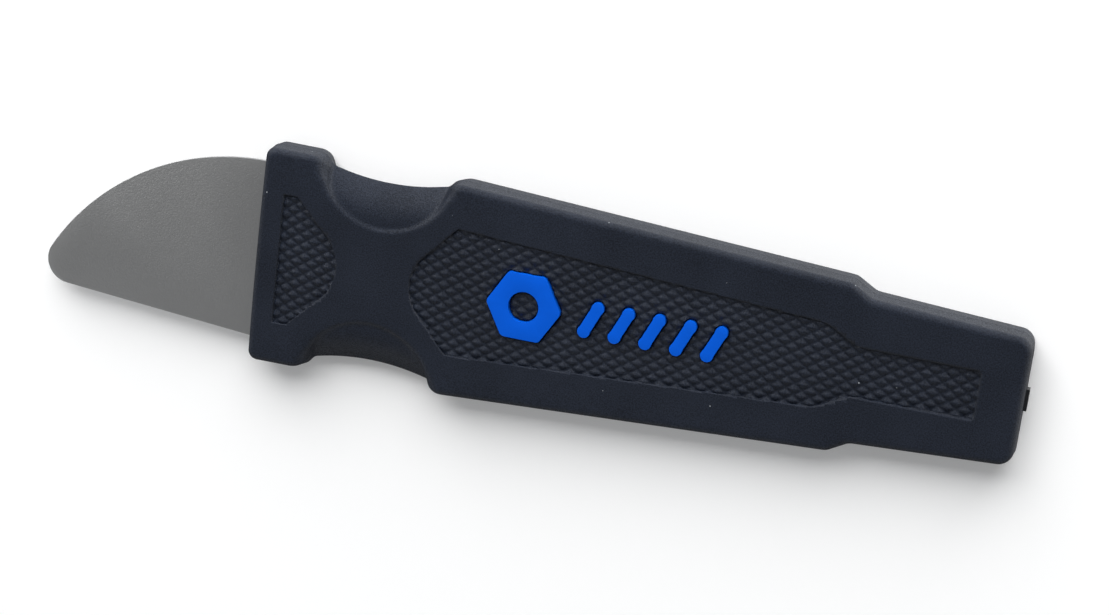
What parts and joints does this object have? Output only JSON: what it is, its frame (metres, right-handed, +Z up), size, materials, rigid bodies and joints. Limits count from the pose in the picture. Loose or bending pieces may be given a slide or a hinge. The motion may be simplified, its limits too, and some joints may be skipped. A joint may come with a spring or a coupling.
{
  "type": "prying knife",
  "caption": "Flat prying knife with a thin, round-topped steel blade in a rubber covered handle with a guard, finger scoops, a stepped tail and sunken knurled grip panels.",
  "frame": {"origin": "on the plane of the back face that the handle lies on, under the middle of the overall box", "axes": "+X runs along the tool from the blade's tip to the butt, +Y across the handle towards the blade's curved edge, +Z up through the thickness towards the marked front face"},
  "size_m": [0.15, 0.0334, 0.0068],
  "materials": {
    "blade_steel": "satin, bead blasted spring steel",
    "rivet_steel": "plain, as headed",
    "core_nylon": "as moulded nylon",
    "grip_rubber": "matt, fine moulded texture with knurled panels",
    "inlay_plastic": "satin blue plastic"
  },
  "bodies": {
    "root": {"blade": "blade_steel", "tang_rivets": "rivet_steel", "core_front": "core_nylon", "core_back": "core_nylon", "grip": "grip_rubber", "badge_inlay": "inlay_plastic", "bar_inlays": "inlay_plastic"}
  },
  "joints": []
}
